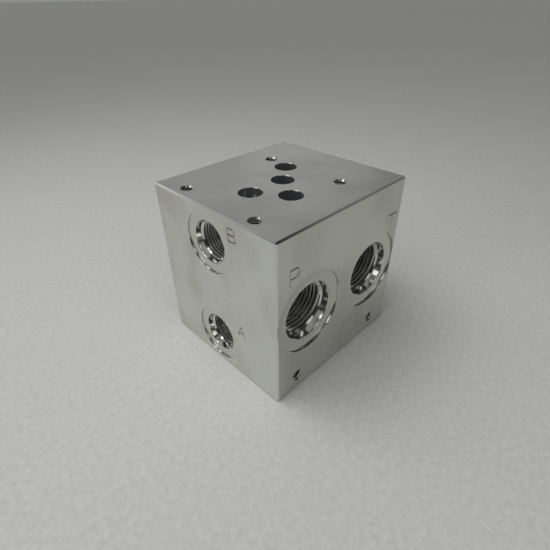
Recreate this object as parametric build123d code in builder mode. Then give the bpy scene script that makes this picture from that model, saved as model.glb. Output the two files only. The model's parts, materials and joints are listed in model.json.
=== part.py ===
from build123d import *
import os
from math import radians, tan

# A hydraulic manifold block that carries one size 05 directional valve. It is one piece of
# aluminium bar: faced square, its edges broken, then drilled, bored and tapped from three sides.
# Millimetres. +Z is up and the origin is the middle of the underside.
#   top face (+Z)    the valve's seat: four port holes and four bolt holes
#   front face (-Y)  the pressure port P on the left and the tank port T on the right
#   left face (-X)   the two work ports, B above A
# The threads themselves are not cut here: each tapped hole has its tapping-drill diameter.

# --- block ---
block_width = 88.4
block_depth = 81.8
block_height = 88.4
edge_break = 0.8

# --- main ports P and T: 1 1/16-12 straight thread with an O-ring seat ---
main_spotface_diameter = 41.3
main_spotface_depth = 1.2
main_mouth_diameter = 29.2
main_seal_depth = 3.3
main_bore_diameter = 24.9
main_bore_depth = 23.0
main_rim_web = 0.4

# --- work ports A and B: 3/4-16 straight thread with an O-ring seat ---
work_spotface_diameter = 30.0
work_spotface_depth = 1.0
work_mouth_diameter = 20.6
work_seal_depth = 2.5
work_bore_diameter = 17.46
work_bore_depth = 17.5
lower_port_rise = 17.5
upper_port_drop = 17.3
work_port_offset = 1.95

# --- valve seat: hole places are measured from the bolt hole at its left front corner ---
valve_bolt_spacing_x = 54.0
valve_bolt_spacing_y = 46.0
valve_seat_inset = 6.87
valve_seat_setback = 18.3
valve_port_diameter = 11.2
valve_p_place = (27.0, 6.3)
valve_b_place = (16.7, 21.4)
valve_a_place = (37.3, 21.4)
valve_t_place = (50.8, 32.5)

# --- 1/4-20 tapped holes: four for the valve, two low in the front face for a foot bracket ---
bolt_bore_diameter = 5.11
bolt_mouth_diameter = 6.9
bolt_bore_depth = 22.0
foot_hole_inset = 13.56
foot_hole_spacing = 60.3
foot_hole_height = 8.6

# --- passages that join each port to its valve hole, and the cutting tools' angles ---
main_passage_diameter = 22.0
work_passage_diameter = 11.2
passage_overrun = 2.0
seal_angle = 15.0
lead_in_angle = 45.0
drill_point_angle = 118.0
tool_clearance = 1.0

# The four faces and places that the drillings start from.
top_face = Plane.XY.offset(block_height)
front_face = Plane(origin=(0, -block_depth / 2, 0), x_dir=(1, 0, 0), z_dir=(0, -1, 0))
left_face = Plane(origin=(-block_width / 2, 0, 0), x_dir=(0, -1, 0), z_dir=(-1, 0, 0))

main_port_x = block_width / 2 - main_rim_web - main_spotface_diameter / 2
main_port_z = block_height / 2
lower_port_z = lower_port_rise
upper_port_z = block_height - upper_port_drop
seat_left = -block_width / 2 + valve_seat_inset
seat_front = -block_depth / 2 + valve_seat_setback


def on_seat(place):
    """Where a valve hole lies on the top face, from its place on the valve's own pattern."""
    return (seat_left + place[0], seat_front + place[1])


def cutter(half_section):
    """A form tool turned about the local Z axis, which cuts down from the face it stands on."""
    with BuildPart() as tool:
        with BuildSketch(Plane.XZ):
            with BuildLine():
                Polyline(*half_section, close=True)
            make_face()
        revolve(axis=Axis.Z)
    return tool.part


def drilling(diameter, drill_depth):
    """A twist drill: a plain hole that ends in the drill's point."""
    radius = diameter / 2
    point = radius / tan(radians(drill_point_angle / 2))
    return cutter(
        [
            (0, tool_clearance),
            (radius, tool_clearance),
            (radius, -drill_depth),
            (0, -drill_depth - point),
        ]
    )


def tapped_hole(mouth_diameter, bore_diameter, drill_depth):
    """A tapping drill's hole with a 90 degree countersink at its mouth."""
    mouth, bore = mouth_diameter / 2, bore_diameter / 2
    point = bore / tan(radians(drill_point_angle / 2))
    return cutter(
        [
            (0, tool_clearance),
            (mouth, tool_clearance),
            (mouth, 0),
            (bore, bore - mouth),
            (bore, -drill_depth),
            (0, -drill_depth - point),
        ]
    )


def port_cavity(spotface_diameter, spotface_depth, mouth_diameter, seal_depth, bore_diameter, bore_depth):
    """A port tool: spotface, tapered O-ring seat, lead-in to the thread, bore and drill point."""
    spotface, mouth, bore = spotface_diameter / 2, mouth_diameter / 2, bore_diameter / 2
    seal_foot = mouth - seal_depth * tan(radians(seal_angle))
    seal_end = spotface_depth + seal_depth
    lead_in_end = seal_end + (seal_foot - bore) / tan(radians(lead_in_angle))
    bore_end = spotface_depth + bore_depth
    point = bore / tan(radians(drill_point_angle / 2))
    return cutter(
        [
            (0, tool_clearance),
            (spotface, tool_clearance),
            (spotface, -spotface_depth),
            (mouth, -spotface_depth),
            (seal_foot, -seal_end),
            (bore, -lead_in_end),
            (bore, -bore_end),
            (0, -bore_end - point),
        ]
    )


main_port = port_cavity(
    main_spotface_diameter,
    main_spotface_depth,
    main_mouth_diameter,
    main_seal_depth,
    main_bore_diameter,
    main_bore_depth,
)
work_port = port_cavity(
    work_spotface_diameter,
    work_spotface_depth,
    work_mouth_diameter,
    work_seal_depth,
    work_bore_diameter,
    work_bore_depth,
)
bolt_hole = tapped_hole(bolt_mouth_diameter, bolt_bore_diameter, bolt_bore_depth)

# Each circuit is a valve hole drilled down to the level of its port, and a passage drilled from
# the bottom of that port across to the valve hole.
circuits = [
    (valve_p_place, front_face, (-main_port_x, main_port_z), main_passage_diameter),
    (valve_t_place, front_face, (main_port_x, main_port_z), main_passage_diameter),
    (valve_a_place, left_face, (-work_port_offset, lower_port_z), work_passage_diameter),
    (valve_b_place, left_face, (-work_port_offset, upper_port_z), work_passage_diameter),
]

with BuildPart() as manifold_block:
    Box(block_width, block_depth, block_height, align=(Align.CENTER, Align.CENTER, Align.MIN))
    chamfer(manifold_block.edges(), edge_break)

    with Locations(front_face):
        with Locations((0, main_port_z)):
            with GridLocations(2 * main_port_x, 0, 2, 1):
                add(main_port, mode=Mode.SUBTRACT)
        with Locations((-block_width / 2 + foot_hole_inset + foot_hole_spacing / 2, foot_hole_height)):
            with GridLocations(foot_hole_spacing, 0, 2, 1):
                add(bolt_hole, mode=Mode.SUBTRACT)

    with Locations(left_face):
        with Locations((-work_port_offset, lower_port_z), (-work_port_offset, upper_port_z)):
            add(work_port, mode=Mode.SUBTRACT)

    with Locations(top_face):
        with Locations((seat_left + valve_bolt_spacing_x / 2, seat_front + valve_bolt_spacing_y / 2)):
            with GridLocations(valve_bolt_spacing_x, valve_bolt_spacing_y, 2, 2):
                add(bolt_hole, mode=Mode.SUBTRACT)

    for place, port_face, port_centre, passage_diameter in circuits:
        valve_hole = on_seat(place)
        hole_depth = block_height - port_centre[1] + passage_overrun
        crossing = port_face.to_local_coords(Vector(*valve_hole, port_centre[1]))
        passage_depth = -crossing.Z + passage_overrun
        with Locations(top_face):
            with Locations(valve_hole):
                add(drilling(valve_port_diameter, hole_depth), mode=Mode.SUBTRACT)
        with Locations(port_face):
            with Locations(port_centre):
                add(drilling(passage_diameter, passage_depth), mode=Mode.SUBTRACT)

manifold_block.part.label = "manifold_block"

os.makedirs("parts", exist_ok=True)
export_step(manifold_block.part, "parts/manifold_block.step")
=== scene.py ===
# %% [markdown]
# # A hydraulic manifold block
#
# The real part is one block of aluminium bar. It is sawn, faced square, drilled from three sides,
# bored and tapped for its hose fittings, and stamped with a letter beside each port. A directional
# valve is bolted on its top face. Nothing on it moves, so the whole scene is one piece of metal
# on a pale floor.
#
# The CAD node has every hole at its true place, but its bores are plain and its faces are bare.
# The piece made here stands for it: the same block, cut with the same tools, and with the real
# threads, the stamped letters, the small burr-free edges and the finish that each tool leaves.

# %% Load the frame
import json
import math

import bmesh
import bpy
from mathutils import Matrix, Vector


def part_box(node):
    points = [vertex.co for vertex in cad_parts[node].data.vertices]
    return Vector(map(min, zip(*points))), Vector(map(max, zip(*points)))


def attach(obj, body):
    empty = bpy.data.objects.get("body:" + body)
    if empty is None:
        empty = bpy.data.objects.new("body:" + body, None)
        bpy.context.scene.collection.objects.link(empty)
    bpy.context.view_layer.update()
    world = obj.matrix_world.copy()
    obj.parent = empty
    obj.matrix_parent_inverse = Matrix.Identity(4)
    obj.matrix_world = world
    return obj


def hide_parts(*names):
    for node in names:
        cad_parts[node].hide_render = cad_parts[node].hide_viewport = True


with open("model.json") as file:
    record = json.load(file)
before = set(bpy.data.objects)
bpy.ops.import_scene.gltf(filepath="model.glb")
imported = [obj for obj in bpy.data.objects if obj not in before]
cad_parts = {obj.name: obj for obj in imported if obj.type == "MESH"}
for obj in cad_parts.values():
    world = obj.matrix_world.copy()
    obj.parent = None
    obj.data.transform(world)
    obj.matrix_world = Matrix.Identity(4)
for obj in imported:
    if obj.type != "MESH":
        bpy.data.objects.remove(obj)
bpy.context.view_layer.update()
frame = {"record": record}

MM = 0.001  # the frame and Blender count in metres, and a drawing in millimetres
block_low, block_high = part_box("manifold_block")
mounts = {mount["name"]: mount for mount in frame["record"]["mounts"]}
print("block", [round(side / MM, 1) for side in block_high - block_low], "mm, mounts", list(mounts))

# %% [markdown]
# ## Three small helpers for every material
#
# Colours are written as people write them, in sRGB hex, and Blender's sockets want linear light,
# so one function does the conversion. A second one adds a node, sets its properties and fills its
# sockets. A socket gets a plain value, or a link where it is given another socket. A third one
# starts a material with nothing in it, so that every node in it is one that is written here.


# %% Colour, node and material helpers
def linear(hex_colour):
    """An sRGB hex colour as the linear RGBA that a socket takes."""
    shares = [int(hex_colour[i : i + 2], 16) / 255 for i in (1, 3, 5)]
    light = [s / 12.92 if s <= 0.04045 else ((s + 0.055) / 1.055) ** 2.4 for s in shares]
    return (*light, 1.0)


def node(tree, kind, sockets=None, **settings):
    """Adds one node to a tree and returns it. Sockets are filled by name or by number."""
    made = tree.nodes.new("ShaderNode" + kind)
    for name, value in settings.items():
        setattr(made, name, value)
    for name, value in (sockets or {}).items():
        if isinstance(value, bpy.types.NodeSocket):
            tree.links.new(value, made.inputs[name])
        else:
            made.inputs[name].default_value = value
    return made


def blank_material(name):
    """A new material and its empty node tree."""
    material = bpy.data.materials.new(name)
    material.use_nodes = True
    material.node_tree.nodes.clear()
    return material, material.node_tree


print("mill-finish grey in linear light:", [round(part, 3) for part in linear("#c9c9c6")[:3]])

# %% [markdown]
# ## The lines of a milled face
#
# The block is a bar of 6061 aluminium, milled on every side. A face cutter leaves fine lines,
# called the lay, about 0.1 mm apart. On the sides they look straight, and on the valve's seat they
# bow to the cutter's own radius. A reflection is scattered across them, so the face looks satin
# and slightly streaked.
#
# The lines are noise stretched along the lay. To bow them, each point is moved sideways by a
# parabola, which is close to the cutter's circle and simpler. 0.1 mm is too fine to show, so the
# lines are drawn about 0.6 mm wide on the sides and 1.1 mm on the seat.

# %% Milling lines
LAY_LENGTH = 60 * MM  # a line fades into the next over about this length


def milling_lines(tree, place, lay, across, line, bow):
    """Noise in lines along lay, each about line wide, bent to the cutter's radius, bow, if any."""
    part = node(tree, "SeparateXYZ", {0: place}).outputs
    run, step = part["xyz".index(lay)], part["xyz".index(across)]
    if bow:
        squared = node(tree, "Math", {0: run, 1: run}, operation="MULTIPLY").outputs[0]
        bend = {0: squared, 1: 0.5 / bow, 2: step}
        step = node(tree, "Math", bend, operation="MULTIPLY_ADD").outputs[0]
    flat = node(tree, "CombineXYZ", {0: run, 1: step}).outputs[0]
    stretch = {0: flat, 1: (1 / LAY_LENGTH, 1 / line, 0)}
    stretched = node(tree, "VectorMath", stretch, operation="MULTIPLY").outputs[0]
    return node(tree, "TexNoise", {"Vector": stretched, "Scale": 1.0, "Detail": 2.0}).outputs[0]


print("a milling line runs for about", round(LAY_LENGTH / MM), "mm")

# %% [markdown]
# ## The film on the metal
#
# Bare aluminium doesn't stay bright. Coolant and handling leave a faint yellowish film, in clouds
# a few centimetres wide, thicker toward one edge. It is soft noise, drawn out a little from top to
# bottom as a liquid drains, plus a slow rise toward that edge. Only where the sum is high is there
# any film.

# %% Film of coolant and handling
CLOUD_SIZE = 22 * MM
DRAINED = 0.7  # below 1, the clouds are longer up and down than across
FILM_STARTS, FILM_IS_FULL = 0.42, 0.68  # levels of the noise


def handling_film(tree, place, thickest, drift):
    """How much film lies on a spot, up to thickest. drift is its rise for each metre of X, Y, Z."""
    drained = node(tree, "Mapping", {"Vector": place, "Scale": (1.0, 1.0, DRAINED)}).outputs[0]
    clouds = node(tree, "TexNoise", {"Vector": drained, "Scale": 1 / CLOUD_SIZE, "Detail": 3.0,
                                     "Roughness": 0.5, "Distortion": 0.15}).outputs[0]
    rise = node(tree, "VectorMath", {0: place, 1: drift}, operation="DOT_PRODUCT").outputs["Value"]
    film = node(tree, "Math", {0: clouds, 1: rise}, operation="ADD").outputs[0]
    return node(tree, "MapRange", {"Value": film, "From Min": FILM_STARTS, "From Max": FILM_IS_FULL,
                                   "To Min": 0.0, "To Max": thickest}).outputs[0]


print("a cloud of film is about", round(CLOUD_SIZE / MM), "mm wide")

# %% [markdown]
# ## A finish for each milled face
#
# Polished aluminium has a roughness near 0.1, and a milled face one of 0.2 to 0.3. The lay differs
# from face to face, so each gets a finish of its own: on the sides the lines run up and down, and
# on the seat from left to right. The lines change the shade by about a percent and the roughness
# by 0.015, the film tints the metal and dulls it, and a very low bump lets the glints follow the
# lines.

# %% Milled aluminium
NOISE_LOW, NOISE_HIGH = 0.3, 0.7  # nearly all of a noise texture lies between these levels
LINE_ROUGHNESS = 0.015
LINE_RELIEF = 0.006 * MM
FILM_ROUGHNESS = 0.12


def milled_aluminium(name, lay, across, line, streak, colour, film_colour, roughness, film,
                     bow=0, drift=(0, 0, 0)):
    """A milled face. streak is how much the lines shade it, and film how thick the film gets."""
    material, tree = blank_material(name)
    place = node(tree, "TexCoord").outputs["Object"]
    lines = milling_lines(tree, place, lay, across, line, bow)
    cloud = handling_film(tree, place, film, drift)
    tint = node(tree, "MixRGB", {0: cloud, 1: linear(colour), 2: linear(film_colour)}).outputs[0]
    streaks = node(tree, "MapRange", {"Value": lines, "From Min": NOISE_LOW, "From Max": NOISE_HIGH,
                                      "To Min": 1 - streak, "To Max": 1 + streak}).outputs[0]
    shade = node(tree, "VectorMath", {0: tint, 1: streaks}, operation="MULTIPLY").outputs[0]
    lined = node(tree, "MapRange", {"Value": lines, "From Min": NOISE_LOW, "From Max": NOISE_HIGH,
                                    "To Min": roughness - LINE_ROUGHNESS,
                                    "To Max": roughness + LINE_ROUGHNESS}).outputs[0]
    filmed = {0: cloud, 1: FILM_ROUGHNESS, 2: lined}
    rough = node(tree, "Math", filmed, operation="MULTIPLY_ADD").outputs[0]
    bump = node(tree, "Bump", {"Height": lines, "Strength": 0.06, "Distance": LINE_RELIEF})
    metal = node(tree, "BsdfPrincipled", {"Base Color": shade, "Metallic": 1.0,
                                          "Roughness": rough, "Normal": bump.outputs[0]})
    node(tree, "OutputMaterial", {"Surface": metal.outputs[0]})
    return material


seat_face = milled_aluminium(
    "face-milled_valve_seat", lay="x", across="y", line=1.1 * MM, bow=34 * MM, streak=0.01,
    colour="#e2e2e2", film_colour="#d2d2ce", roughness=0.22, film=0.5)
left_face = milled_aluminium(
    "milled_side_x", lay="z", across="y", line=0.6 * MM, streak=0.013,
    colour="#dddeda", film_colour="#c9c7ba", roughness=0.24, film=0.6, drift=(0, 2.0, 0))
front_face = milled_aluminium(
    "milled_side_y", lay="z", across="x", line=0.6 * MM, streak=0.013,
    colour="#d4d5cf", film_colour="#bfbdb4", roughness=0.24, film=0.4, drift=(0.3, 0, 0))
print("milled faces:", [finish.name for finish in (seat_face, left_face, front_face)])

# %% [markdown]
# ## The cut surfaces
#
# Round tools leave rings instead of straight lines. A port's O-ring seat is cut by a form tool at
# slow speed and comes out almost like a mirror. Drilled walls are torn a little by the chips, and
# their darker, faintly blue grey is painted shade for the inside of a hole. A tap cuts clean
# flanks, and leaves the crests as the drill made them, paler and rougher.
# Each is the same metal, so only the shade, the roughness and the marks change, and torn metal
# gets a share that scatters light as a dull surface does. The rings are about 0.1 mm apart, too
# fine to show, so they are drawn as soft marks of about a millimetre, or 2.5 mm on drilled walls.

# %% Bored, tapped and drilled aluminium
MARK_LOW, MARK_HIGH = 0.35, 0.65  # levels of the noise where a mark is darkest and palest
MARK_ROUGHNESS = 0.2  # the roughness varies by this share of itself


def cut_aluminium(name, colour, roughness, mark_size, mark_depth, shade=0.08, dull=0.0):
    """A surface that a round tool left. dull is the share that scatters light like torn metal."""
    material, tree = blank_material(name)
    place = node(tree, "TexCoord").outputs["Object"]
    marks = node(tree, "TexNoise", {"Vector": place, "Scale": 1 / mark_size, "Detail": 2.0})
    mark = marks.outputs[0]
    shades = node(tree, "MapRange", {"Value": mark, "From Min": MARK_LOW, "From Max": MARK_HIGH,
                                     "To Min": 1 - shade, "To Max": 1.0})
    marked = {0: linear(colour)[:3], 1: shades.outputs[0]}
    marked_colour = node(tree, "VectorMath", marked, operation="MULTIPLY").outputs[0]
    rough = node(tree, "MapRange", {"Value": mark, "From Min": NOISE_LOW, "From Max": NOISE_HIGH,
                                    "To Min": roughness * (1 - MARK_ROUGHNESS),
                                    "To Max": roughness * (1 + MARK_ROUGHNESS)}).outputs[0]
    bump = node(tree, "Bump", {"Height": mark, "Strength": 0.3, "Distance": mark_depth})
    metal = node(tree, "BsdfPrincipled", {"Base Color": marked_colour, "Metallic": 1.0 - dull,
                                          "Roughness": rough, "Normal": bump.outputs[0]})
    node(tree, "OutputMaterial", {"Surface": metal.outputs[0]})
    return material


# After the name come the colour, the roughness, and the width and depth of the marks.
broken_edge = cut_aluminium("filed_edge", "#e0e0dc", 0.16, 1.2 * MM, 0.004 * MM)
spotface = cut_aluminium("turned_spotface", "#d8d8d1", 0.22, 0.9 * MM, 0.004 * MM, shade=0.05)
spotface_wall = cut_aluminium("turned_spotface_wall", "#dcdcd8", 0.07, 1.5 * MM, 0.001 * MM)
seal_seat = cut_aluminium("reamed_seal_seat", "#dcdcd8", 0.09, 1.5 * MM, 0.001 * MM)
thread_flank = cut_aluminium("tapped_thread", "#dadad4", 0.12, 0.8 * MM, 0.004 * MM, dull=0.05)
thread_crest = cut_aluminium("thread_crest", "#dededa", 0.22, 0.8 * MM, 0.004 * MM, dull=0.5)
# The drilled walls' darker, faintly blue grey is painted shade for the inside of the holes.
drilled_wall_painted_shade = cut_aluminium("drilled_wall_painted_shade", "#b4b5b8", 0.22, 2.5 * MM, 0.002 * MM,
                             shade=0.1, dull=0.15)
# The stamped groove's darker grey is painted shade in the strokes.
stamped = cut_aluminium("stamped_groove_painted_shade", "#b8b7b2", 0.35, 0.5 * MM, 0.01 * MM)
cut_finishes = (broken_edge, spotface, spotface_wall, seal_seat,
                thread_flank, thread_crest, drilled_wall_painted_shade, stamped)
print("cut surfaces:", [finish.name for finish in cut_finishes])

# %% [markdown]
# ## The bar, faced square
#
# The sawn bar is milled to size and its sharp edges are broken with a small chamfer. In mesh code
# that is a cube with one bevel segment. Each face is given its own milled finish here, before any
# hole is cut, because a cut keeps the material of the face that it leaves. Opposite faces are
# milled alike and share a finish.

# %% The block before drilling
EDGE_BREAK = 0.8 * MM
SQUARE = 0.99  # a face is square to an axis if its normal points this much along it

block_mesh = bpy.data.meshes.new("manifold_block_shown")
shaping = bmesh.new()
bmesh.ops.create_cube(shaping, size=1.0)
bmesh.ops.scale(shaping, vec=block_high - block_low, verts=shaping.verts)
bmesh.ops.translate(shaping, vec=(block_high + block_low) / 2, verts=shaping.verts)
bmesh.ops.bevel(shaping, geom=shaping.edges, offset=EDGE_BREAK, segments=1, affect="EDGES")
for face in shaping.faces:
    axis = max(range(3), key=lambda i: abs(face.normal[i]))
    face.material_index = axis if abs(face.normal[axis]) > SQUARE else 3
shaping.to_mesh(block_mesh)
shaping.free()
for material in (left_face, front_face, seat_face, broken_edge):
    block_mesh.materials.append(material)
block = bpy.data.objects.new("manifold_block_shown", block_mesh)
bpy.context.scene.collection.objects.link(block)
print("faced bar:", len(block_mesh.polygons), "faces")

# %% [markdown]
# ## Cutting tools
#
# Every hole is round, so every tool is a turned shape: a half section spun about its axis. The
# tool stands on a face and points into the block, as on the machine. Each step of the section
# names the finish it leaves, and the boolean hands that finish to the wall it cuts.

# %% Turned tools
CLEAR = 1.0  # every tool starts this many mm outside the face that it stands on
DRILL_POINT = 1 / math.tan(math.radians(59))  # a 118 degree point, as depth for each mm of radius


def part_from(name, points, faces, materials, face_material=None):
    """A mesh object from plain lists. face_material gives each face's place in materials."""
    mesh = bpy.data.meshes.new(name)
    mesh.from_pydata(points, [], faces)
    for material in materials:
        mesh.materials.append(material)
    if face_material:
        mesh.polygons.foreach_set("material_index", face_material)
    made = bpy.data.objects.new(name, mesh)
    bpy.context.scene.collection.objects.link(made)
    return made


def turned_tool(name, section, segments):
    """Spins a half section of (radius, height, finish of the step that follows), in mm."""
    finishes = list(dict.fromkeys(finish for _, _, finish in section))
    points, faces, face_finish = [], [], []
    rings = []
    for radius, height, _ in section:
        if radius == 0:
            rings.append([len(points)] * segments)
            points.append((0, 0, height * MM))
        else:
            rings.append(list(range(len(points), len(points) + segments)))
            for k in range(segments):
                x, y = math.cos(2 * math.pi * k / segments), math.sin(2 * math.pi * k / segments)
                points.append((radius * MM * x, radius * MM * y, height * MM))
    for upper, lower, (_, _, finish) in zip(rings, rings[1:], section):
        for k in range(segments):
            n = (k + 1) % segments
            corners = [upper[k], lower[k], lower[n], upper[n]]
            faces.append(list(dict.fromkeys(corners)))
            face_finish.append(finishes.index(finish))
    return part_from(name, points, faces, finishes, face_finish)


print("a 10 mm drill has a point", round(5 * DRILL_POINT, 2), "mm deep")

# %% [markdown]
# ## Standing a tool on a face, and cutting
#
# A tool is made about its own axis and then moved to its place. A face needs three things for
# that: where it lies, which way is right on it, and which way is out. Tools that don't touch one
# another are joined and subtracted together, which is much quicker than one at a time. The
# boolean is the kind for closed meshes, because it is fast and keeps every thread whole.

# %% Placing and cutting
face_frames = {
    "top": (Vector((0, 0, block_high.z)), Vector((1, 0, 0)), Vector((0, 0, 1))),
    "front": (Vector((0, block_low.y, 0)), Vector((1, 0, 0)), Vector((0, -1, 0))),
    "left": (Vector((block_low.x, 0, 0)), Vector((0, -1, 0)), Vector((-1, 0, 0))),
}


def put(tool, face_name, across, up):
    """Moves a tool to its place on a face, so many mm to the right and up from the frame's axes."""
    origin, right, out = face_frames[face_name]
    turn = Matrix((right, out.cross(right), out)).transposed().to_4x4()
    place = Matrix.Translation((across * MM, up * MM, 0))
    tool.data.transform(Matrix.Translation(origin) @ turn @ place)
    return tool


def cut(tools):
    """Subtracts several tools, which don't overlap one another, from the block in one go."""
    joined = tools[0]
    with bpy.context.temp_override(active_object=joined, selected_editable_objects=tools,
                                   selected_objects=tools, object=joined):
        bpy.ops.object.join()
    change = block.modifiers.new("cut", "BOOLEAN")
    change.operation = "DIFFERENCE"
    change.solver = "MANIFOLD"
    change.material_mode = "TRANSFER"
    change.object = joined
    bpy.context.view_layer.update()
    shown = block.evaluated_get(bpy.context.evaluated_depsgraph_get())
    result = bpy.data.meshes.new_from_object(shown)
    block.modifiers.clear()
    block.data = result
    bpy.data.objects.remove(joined)
    return len(result.polygons)


print("tools can stand on:", list(face_frames))

# %% [markdown]
# ## The four ports
#
# P and T take a 1 1/16-12 fitting, A and B a 3/4-16 fitting, each with an O-ring. From the outside
# in, a port is a shallow spotface for the fitting's washer, a 15 degree cone that squeezes the
# O-ring, a short lead-in and then the thread. The tool's corners are slightly rounded, so the
# spotface ends in a small fillet, and its sharp rim is broken to a bright hairline.

# %% The size of a port
# Radii and depths are in mm. The radius of each bore comes from the CAD part's own record.
MAIN_PORT = {"spotface": 20.65, "spotface_depth": 1.2, "mouth": 14.6, "seal_depth": 3.3,
             "bore": mounts["pressure_port"]["dims"]["r_mm"], "depth": 23.0, "segments": 128}
WORK_PORT = {"spotface": 15.0, "spotface_depth": 1.0, "mouth": 10.3, "seal_depth": 2.5,
             "bore": mounts["work_port_a"]["dims"]["r_mm"], "depth": 17.5, "segments": 96}
SEAL_SLOPE = math.tan(math.radians(15))
RIM_BREAK = 0.15
FILLET = 0.2
FILLET_MIDDLE = 0.3 * FILLET  # the middle of a quarter circle, measured from both of its sides
SEAL_RIM_OUT, SEAL_RIM_IN, SEAL_RIM_DEEP = 0.2, 0.05, 0.25  # the broken rim of the seal's cone
print("bore radii:", MAIN_PORT["bore"], "and", WORK_PORT["bore"], "mm")

# %% [markdown]
# ## One tool for a whole port
#
# A machinist cuts a port with a single form tool, because then its steps can't lie off centre. So
# here too one section holds every step, from outside the face down to the drill's point. The wall
# of the bore gets the finish of the thread's crests, because that is all that a tap leaves of it.


# %% A port's form tool
def port_tool(name, port):
    """A port cavity's form tool, from the washer's face down to the drill point."""
    wide, deep = port["spotface"], -port["spotface_depth"]
    mouth, bore = port["mouth"], port["bore"]
    seal_end = deep - port["seal_depth"]
    seal_foot = mouth - port["seal_depth"] * SEAL_SLOPE
    lead_end = seal_end - (seal_foot - bore)
    floor = deep - port["depth"]
    section = [
        (0, CLEAR, spotface_wall),
        (wide + RIM_BREAK, CLEAR, spotface_wall),
        (wide + RIM_BREAK, 0, spotface_wall),
        (wide, -RIM_BREAK, spotface_wall),
        (wide, deep + FILLET, spotface_wall),
        (wide - FILLET_MIDDLE, deep + FILLET_MIDDLE, spotface_wall),
        (wide - FILLET, deep, spotface),
        (mouth + SEAL_RIM_OUT, deep, seal_seat),
        (mouth - SEAL_RIM_IN, deep - SEAL_RIM_DEEP, seal_seat),
        (seal_foot, seal_end, seal_seat),
        (bore, lead_end, thread_crest),
        (bore, floor, drilled_wall_painted_shade),
        (0, floor - bore * DRILL_POINT, drilled_wall_painted_shade),
    ]
    return turned_tool(name, section, port["segments"])


port_sizes = {"P": MAIN_PORT, "T": MAIN_PORT, "A": WORK_PORT, "B": WORK_PORT}
port_mounts = {"P": "pressure_port", "T": "tank_port", "A": "work_port_a", "B": "work_port_b"}
port_places = {}
for letter, mount_name in port_mounts.items():
    x, y, z = (value / MM for value in mounts[mount_name]["pos_m"])
    port_places[letter] = ("front", x, z) if port_sizes[letter] is MAIN_PORT else ("left", -y, z)
print("faces after the ports:", cut([put(port_tool("port_" + letter, port_sizes[letter]), *place)
                                     for letter, place in port_places.items()]))

# %% [markdown]
# ## Bolt holes
#
# Four 1/4-20 bolts hold the valve on top, and two more holes low in the front face take a foot
# bracket. Each is drilled to the tap's size and countersunk a little, so that the first turn of
# its thread doesn't stand up as a burr.

# %% Bolt holes
BOLT_MOUTH, BOLT_BORE, BOLT_DEPTH = 3.32, mounts["valve_bolts"]["dims"]["hole_r_mm"], 22.0
BOLT_SEGMENTS = 40


def bolt_tool(name):
    """A tapping drill with a countersink above it."""
    section = [
        (0, CLEAR, seal_seat),
        (BOLT_MOUTH, CLEAR, seal_seat),
        (BOLT_MOUTH, 0, seal_seat),
        (BOLT_BORE, BOLT_BORE - BOLT_MOUTH, thread_crest),
        (BOLT_BORE, -BOLT_DEPTH, drilled_wall_painted_shade),
        (0, -BOLT_DEPTH - BOLT_BORE * DRILL_POINT, drilled_wall_painted_shade),
    ]
    return turned_tool(name, section, BOLT_SEGMENTS)


seat_x, seat_y = (value / MM for value in mounts["valve_bolts"]["pos_m"][:2])
foot_x, foot_z = mounts["foot_bolts"]["pos_m"][0] / MM, mounts["foot_bolts"]["pos_m"][2] / MM
half_x = mounts["valve_bolts"]["dims"]["spacing_x_mm"] / 2
half_y = mounts["valve_bolts"]["dims"]["spacing_y_mm"] / 2
half_foot = mounts["foot_bolts"]["dims"]["spacing_x_mm"] / 2
bolt_places = [("top", seat_x + i * half_x, seat_y + j * half_y) for i in (-1, 1) for j in (-1, 1)]
bolt_places += [("front", foot_x + i * half_foot, foot_z) for i in (-1, 1)]
print("faces after the bolt holes:", cut([put(bolt_tool("bolt"), *place) for place in bolt_places]))

# %% [markdown]
# ## Valve holes and passages
#
# The valve's four oil holes are plain drillings, each straight down to the level of its port. A
# passage goes on from the bottom of that port and meets it, a little past its axis, so oil really
# could flow. The rims on the seat are deburred by hand, which leaves the thin bright ring round
# each hole. The two sets are cut one after the other, because they overlap.

# %% Valve holes and the passages behind the ports
VALVE_HOLE = 5.6
DEBURR = 0.18
OVERRUN = 2.0
DRILL_SEGMENTS = 64
valve_holes = {"P": (0.0, -16.7), "B": (-10.3, -1.6), "A": (10.3, -1.6), "T": (23.8, 9.5)}
passage_radius = {"P": 11.0, "T": 11.0, "A": 5.6, "B": 5.6}


def drill(name, radius, depth, rim=0.0):
    """A twist drill, with a deburring tool's small cone at its mouth where rim is above nought."""
    section = [(0, CLEAR, drilled_wall_painted_shade)]
    if rim:
        section += [(radius + rim, CLEAR, seal_seat), (radius + rim, 0, seal_seat),
                    (radius, -rim, drilled_wall_painted_shade)]
    else:
        section += [(radius, CLEAR, drilled_wall_painted_shade)]
    section += [(radius, -depth, drilled_wall_painted_shade), (0, -depth - radius * DRILL_POINT, drilled_wall_painted_shade)]
    return turned_tool(name, section, DRILL_SEGMENTS)


top_z, front_y, left_x = block_high.z / MM, block_low.y / MM, block_low.x / MM
down_drills, cross_drills = [], []
for letter, (dx, dy) in valve_holes.items():
    side, across, up = port_places[letter]
    x, y = seat_x + dx, seat_y + dy
    down = drill("down_" + letter, VALVE_HOLE, top_z - up + OVERRUN, DEBURR)
    down_drills.append(put(down, "top", x, y))
    reach = (y - front_y if side == "front" else x - left_x) + OVERRUN
    cross = drill("cross_" + letter, passage_radius[letter], reach)
    cross_drills.append(put(cross, side, across, up))
print("faces after the passages:", cut(cross_drills))
print("faces after the valve holes:", cut(down_drills))

# %% [markdown]
# ## Stamped letters
#
# The port letters are struck into the metal with steel stamps, about 0.3 mm deep. A stamp's edge
# is a wedge, so each stroke is a V groove along a line. They go in before the threads while the
# block still has few faces. P and T are for pressure and tank, A and B for the two work ports.

# %% The groove of one stroke
STROKE_WIDTH = 0.75
STROKE_DEPTH = 0.3
LIFT = 0.2  # the wedge starts this far above the face


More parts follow.
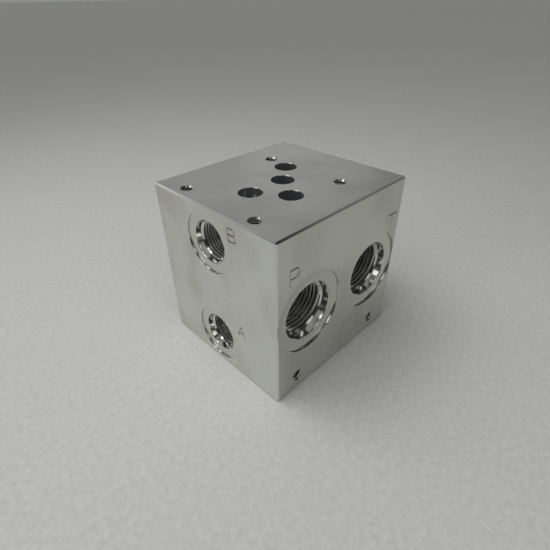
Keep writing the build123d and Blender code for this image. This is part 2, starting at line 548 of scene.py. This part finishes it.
def groove(name, line):
    """A wedge that follows a line of (x, y) in mm and cuts a V groove into the face below it."""
    line = [Vector(point) for point in line]
    half = STROKE_WIDTH / 2 * (1 + LIFT / STROKE_DEPTH)
    points, faces = [], []
    for i, point in enumerate(line):
        before = (point - line[i - 1]).normalized() if i else (line[1] - point).normalized()
        after = (line[i + 1] - point).normalized() if i + 1 < len(line) else before
        along = (before + after).normalized()
        side = Vector((-along.y, along.x)) * half / max(0.5, along.dot(before))
        for x, y, z in ((*(point + side), LIFT), (*(point - side), LIFT), (*point, -STROKE_DEPTH)):
            points.append((x * MM, y * MM, z * MM))
    last = 3 * (len(line) - 1)
    for a in range(0, last, 3):
        faces += [[a, a + 1, a + 4, a + 3], [a + 1, a + 2, a + 5, a + 4], [a + 2, a, a + 3, a + 5]]
    faces += [[0, 2, 1], [last, last + 1, last + 2]]
    return part_from(name, points, faces, [stamped])


print("a stroke is", STROKE_WIDTH, "mm wide and", STROKE_DEPTH, "mm deep")

# %% [markdown]
# ## The shapes of the letters
#
# P, T, A and B are plain strokes a few millimetres long, and only the bowls of P and B are round.
# Strokes of one letter touch, so the first stroke of every letter is cut, then the second, then
# the third.


# %% Letters P, T, A and B
def bowl(x, y, width, height, steps=8):
    """The round side of a P or a B, from its top left to its bottom left."""
    straight = width - height / 2
    arc = [(x + straight + height / 2 * math.sin(math.pi * k / steps),
            y - height / 2 + height / 2 * math.cos(math.pi * k / steps)) for k in range(steps + 1)]
    return [(x, y)] + arc + [(x, y - height)]


letter_strokes = {
    "P": [[(0, 0), (0, 8.4)], bowl(0.3, 8.1, 5.0, 4.3)],
    "T": [[(3.4, 0), (3.4, 6.9)], [(0, 7.3), (6.8, 7.3)]],
    "B": [[(0, 0), (0, 6.2)], bowl(0.3, 6.0, 4.0, 2.8), bowl(0.3, 3.0, 4.4, 2.9)],
    "A": [[(0, 0), (2.3, 6.2)], [(2.5, 6.2), (4.6, 0)], [(1.1, 2.2), (3.5, 2.2)]],
}
letter_places = {"P": ("front", -36.6, 64.5), "T": ("front", 33.6, 63.6),
                 "B": ("left", 13.0, 78.3), "A": ("left", 14.6, 27.2)}
for layer in range(3):
    wedges = [put(groove("stroke_" + letter, strokes[layer]), *letter_places[letter])
              for letter, strokes in letter_strokes.items() if layer < len(strokes)]
    print("faces after stroke", layer + 1, "of each letter:", cut(wedges))

# %% [markdown]
# ## Threads
#
# A tap cuts a spiral groove with 60 degree sides into the wall of the bore. The mesh of the tap is
# the same spiral: four points across one pitch, carried round turn by turn, and closed at both
# ends inside the open hole. Subtracting it leaves flat crests where the drilled wall was, just as
# on the machine. The last turn and a half run out, because a tap is tapered at its end.
#
# The spiral's columns lie half a step round from the bore's own, so that no edge of the tap falls
# exactly on an edge of the wall. Booleans are least sure of themselves where edges coincide.

# %% The points of a tap
CORE_INSIDE = 0.15  # the tap's core is this many mm inside the wall, so only its teeth cut
RUN_OUT = 1.5  # turns
CLOSED_IN = 0.1  # the spiral's last column is drawn in by this many mm
TIP_ABOVE, TIP_BELOW = 0.2, 1.5  # the body's two tips, in mm above it and in turns below it


def spiral_points(pitch, major, core, start, end, segments):
    """Four points for each column of a spiral from start to end, which are mm below the face."""
    flank = (major - core) * math.tan(math.radians(30))
    flat = pitch / 8
    land = pitch - flat - 2 * flank
    steps = [(0, 0.0), (land, 0.0), (land + flank, 1.0), (land + flank + flat, 1.0)]
    columns = round((end - start) / pitch * segments)
    points = []
    for i in range(columns + 1):
        depth = start + pitch * i / segments
        turn = 2 * math.pi * (i + 0.5) / segments
        for along, share in steps:
            here = depth + along
            fade = min(1.0, max(0.0, (end - here) / (RUN_OUT * pitch)))
            radius = core + (major - core) * share * fade - (CLOSED_IN if i == columns else 0.0)
            x, y = radius * MM * math.cos(turn), -radius * MM * math.sin(turn)
            points.append((x, y, -here * MM))
    return points


print("a groove runs out over", RUN_OUT, "turns")

# %% [markdown]
# ## The skin of a tap
#
# Each column of four points is joined to the next, which makes the land, one flank and the flat.
# The other flank joins the end of one turn to the start of the next. At both ends a fan of
# triangles round a tip on the axis closes the body, because a boolean needs a closed one.


# %% The faces of a tap, and the tap
def spiral_faces(columns, segments):
    """The land, a flank and the flat of each column, the flank to the next turn, and both ends."""
    faces = []
    for i in range(columns):
        for p in range(3):
            a = 4 * i + p
            faces.append([a, a + 4, a + 5, a + 1])
        if i + segments + 1 <= columns:
            a, b = 4 * i + 3, 4 * (i + segments)
            faces.append([a, a + 4, b + 4, b])
    upper_tip = 4 * (columns + 1)
    lower_tip = upper_tip + 1
    first = [4 * i for i in range(segments + 1)] + [3, 2, 1, 0]
    faces += [[upper_tip, b, a] for a, b in zip(first, first[1:])]
    tail = columns - segments
    last = [4 * i + 3 for i in range(tail, columns + 1)]
    last += [4 * columns + 2, 4 * columns + 1, 4 * columns, 4 * tail + 3]
    faces += [[lower_tip, a, b] for a, b in zip(last, last[1:])]
    return faces


def tap(name, pitch, major, bore, start, full_end, segments):
    """A tap's cutting body. Depths are in mm below the face, and major is the thread's radius."""
    end = full_end + RUN_OUT * pitch
    points = spiral_points(pitch, major, bore - CORE_INSIDE, start, end, segments)
    columns = len(points) // 4 - 1
    points += [(0, 0, -(start - TIP_ABOVE) * MM), (0, 0, -(end + TIP_BELOW * pitch) * MM)]
    return part_from(name, points, spiral_faces(columns, segments), [thread_flank])


print("faces of a tap with 10 turns of 40:", len(spiral_faces(400, 40)))

# %% [markdown]
# ## Tapping every hole
#
# Inch threads are named by their diameter and their turns to the inch. A port's thread starts
# under the seal's cone and ends short of the drill's point, as far as a tap can reach. A bolt
# hole's starts just outside the face, so its first turn opens into the countersink.

# %% Tap every hole
INCH = 25.4
main_thread = {"pitch": INCH / 12, "major": 26.99 / 2, "bore": MAIN_PORT["bore"],
               "start": 4.3, "full_end": 19.6, "segments": MAIN_PORT["segments"]}
work_thread = {"pitch": INCH / 16, "major": 19.05 / 2, "bore": WORK_PORT["bore"],
               "start": 3.3, "full_end": 15.3, "segments": WORK_PORT["segments"]}
bolt_thread = {"pitch": INCH / 20, "major": 6.35 / 2, "bore": BOLT_BORE,
               "start": -0.5, "full_end": 18.5, "segments": BOLT_SEGMENTS}
port_threads = {"P": main_thread, "T": main_thread, "A": work_thread, "B": work_thread}
taps = [put(tap("tap_" + letter, **port_threads[letter]), *place)
        for letter, place in port_places.items()]
taps += [put(tap("bolt_tap", **bolt_thread), *place) for place in bolt_places]
print("faces after the threads:", cut(taps))

# %% [markdown]
# ## Smooth walls, sharp corners
#
# The round walls are many narrow flats. Smooth shading hides that, and every corner over
# 25 degrees is kept sharp, so the thread crests and the broken edges stay crisp.

# %% Shading and riding
CORNER = math.radians(25)
block.data.polygons.foreach_set("use_smooth", [True] * len(block.data.polygons))
block.data.set_sharp_from_angle(angle=CORNER)
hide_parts("manifold_block")
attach(block, "root")
block.data.calc_loop_triangles()
print("finished block:", len(block.data.polygons), "faces,",
      len(block.data.loop_triangles), "triangles")

# %% [markdown]
# ## The floor
#
# A pale sheet of felt, lit softly. It matters more than it seems to: bare metal shows little of
# its own colour, so the sides of the block are mostly a picture of this floor. Felt is a mat of
# fibres with a nap, so it is rough, hardly shines, and is faintly cloudy. The fibres are finer
# than a tenth of a millimetre, too fine to show, so they are drawn as tufts about 3 mm wide with
# finer ones in them. The floor reaches far, so that its far edge looks like a horizon.

# %% Felt floor
TUFT = 2.7 * MM
NAP_HEIGHT = 0.4 * MM
HALF_FLOOR = 20.0
felt, tree = blank_material("pale_felt")
place = node(tree, "TexCoord").outputs["Object"]
fibres = node(tree, "TexNoise", {"Vector": place, "Scale": 1 / TUFT,
                                 "Detail": 5.0, "Roughness": 0.7}).outputs[0]
tone = node(tree, "ValToRGB", {"Fac": fibres})
shadow_tone, light_tone = tone.color_ramp.elements
shadow_tone.position, shadow_tone.color = NOISE_LOW, linear("#cacac7")
light_tone.position, light_tone.color = NOISE_HIGH, linear("#dcdcd8")
nap = node(tree, "Bump", {"Height": fibres, "Strength": 0.4, "Distance": NAP_HEIGHT})
cloth = node(tree, "BsdfPrincipled", {"Base Color": tone.outputs[0], "Roughness": 0.95,
                                      "Specular IOR Level": 0.1, "Normal": nap.outputs[0]})
node(tree, "OutputMaterial", {"Surface": cloth.outputs[0]})
corners = [(x * HALF_FLOOR, y * HALF_FLOOR, 0) for x, y in ((-1, -1), (1, -1), (1, 1), (-1, 1))]
floor = part_from("floor", corners, [[0, 1, 2, 3]], [felt])
print("floor:", 2 * HALF_FLOOR, "m square")

# %% [markdown]
# ## The room
#
# Polished metal shows the room it stands in, so the room is built from patches of soft light
# instead of one even sky. Tall windows stand on the left, a smaller one is in front, panels hang
# overhead, and a wide pale wall lies beyond the block, which the top face mirrors. Between them
# the room is dim, because that contrast is what makes a bore look like bare metal and not paint.
#
# A patch is a direction and two angles from it. The dot product of two directions is the cosine
# of the angle between them, so one product and one smooth range make a soft round patch.

# %% A patch of the room
world = bpy.data.worlds.new("room")
bpy.context.scene.world = world
world.use_nodes = True
tree = world.node_tree
tree.nodes.clear()
towards = node(tree, "TexCoord").outputs["Generated"]


def glow(azimuth, elevation, fades_at, full_at, strength):
    """A round patch, full inside full_at and gone beyond fades_at. Azimuth 0 is +X, 90 is +Y."""
    level, around = math.cos(math.radians(elevation)), math.radians(azimuth)
    height = math.sin(math.radians(elevation))
    aimed = {0: towards, 1: (level * math.cos(around), level * math.sin(around), height)}
    facing = node(tree, "VectorMath", aimed, operation="DOT_PRODUCT").outputs["Value"]
    edge, middle = math.cos(math.radians(fades_at)), math.cos(math.radians(full_at))
    ramp = {"Value": facing, "From Min": edge, "From Max": middle, "To Min": 0, "To Max": strength}
    return node(tree, "MapRange", ramp, interpolation_type="SMOOTHSTEP").outputs[0]


print("the light is built in the world named", world.name)

# %% [markdown]
# ## Windows, panels and walls
#
# A window is a few patches that run into one another, so it isn't evenly bright, as a real one
# isn't. Their strengths are added, starting from the little light that comes from everywhere.
# Only the metal and the floor see them: the camera sees a plain grey backdrop instead.

# %% Windows, panels and walls
# Each row is azimuth, elevation, fades_at and full_at in degrees, and then the strength.
windows = [(180, 45, 9, 4, 2.40), (170, 35, 9, 4, 1.30), (190, 35, 9, 4, 1.15),
           (170, 25, 9, 4, 1.55), (170, 15, 9, 4, 2.90), (110, 25, 9, 4, 0.57),
           (120, 35, 9, 4, 0.24)]
front_window = [(-96, 41, 11, 5, 1.12), (-84, 41, 11, 5, 0.93), (-96, 28, 11, 5, 0.52)]
panels = [(115, 62, 10, 5, 1.90), (90, 70, 12, 5, 0.90), (145, 55, 10, 5, 1.30),
          (165, 64, 10, 5, 0.90), (170, 76, 12, 5, 0.60), (-90, 70, 12, 5, 0.37)]
walls = [(66, 10, 60, 0, 0.325), (150, 45, 50, 0, 0.21), (-30, 25, 14, 6, 0.15),
         (40, 18, 14, 6, 0.07)]
patches = windows + front_window + panels + walls
total = 0.042  # the dim rest of the room
for patch in patches:
    total = node(tree, "Math", {0: total, 1: glow(*patch)}, operation="ADD").outputs[0]
room = node(tree, "Background", {"Color": linear("#f5f6f4"), "Strength": total})
backdrop = node(tree, "Background", {"Color": linear("#8d8e91"), "Strength": 1.0})
seen = node(tree, "LightPath").outputs["Is Camera Ray"]
mixed = node(tree, "MixShader", {0: seen, 1: room.outputs[0], 2: backdrop.outputs[0]})
node(tree, "OutputWorld", {"Surface": mixed.outputs[0]})
print("patches of light in the room:", len(patches))

# %% [markdown]
# ## Two soft lamps
#
# The patches light the metal, and two soft lamps over the block light the floor. The metal
# doesn't mirror them, so they add no spots to it. They hang to the left, which gives the block
# its soft shadow to the right.

# %% Soft lamps
LAMP_SIZE = 0.35
LAMP_DISTANCE = 0.55


def soft_lamp(name, direction, power):
    """A square soft lamp in a direction from the middle of the block, which it looks at."""
    light = bpy.data.lights.new(name, "AREA")
    light.shape, light.size = "SQUARE", LAMP_SIZE
    light.energy, light.color = power, linear("#fbfcff")[:3]
    lamp = bpy.data.objects.new(name, light)
    away = Vector(direction).normalized()
    lamp.location = (block_low + block_high) / 2 + away * LAMP_DISTANCE
    lamp.rotation_euler = away.to_track_quat("Z", "Y").to_euler()
    lamp.visible_glossy = False
    bpy.context.scene.collection.objects.link(lamp)
    return lamp


lamps = [soft_lamp("left_fill", (-0.3, 0.35, 0.85), 0.98),
         soft_lamp("front_fill", (-0.25, -0.3, 0.88), 0.66)]
print("lamps:", [lamp.name for lamp in lamps])

# %% [markdown]
# ## Camera
#
# The camera stands close, in front of the left front edge, and looks down on the block with a
# wide lens, so three faces show and the upright edges draw together towards the floor. The
# colours are shown as they are, without the film curve that Blender would add.

# %% Camera
camera_data = bpy.data.cameras.new("camera")
camera_data.sensor_width = 36.0
camera_data.lens = 26.19
camera_data.clip_start = 0.01
camera = bpy.data.objects.new("camera", camera_data)
camera.location = (-0.12978, -0.12757, 0.16045)
camera.rotation_euler = [math.radians(angle) for angle in (54.912, 0.642, -44.838)]
bpy.context.scene.collection.objects.link(camera)
bpy.context.scene.camera = camera
bpy.context.scene.view_settings.view_transform = "Standard"
print("camera at", [round(part / MM, 1) for part in camera.location], "mm")
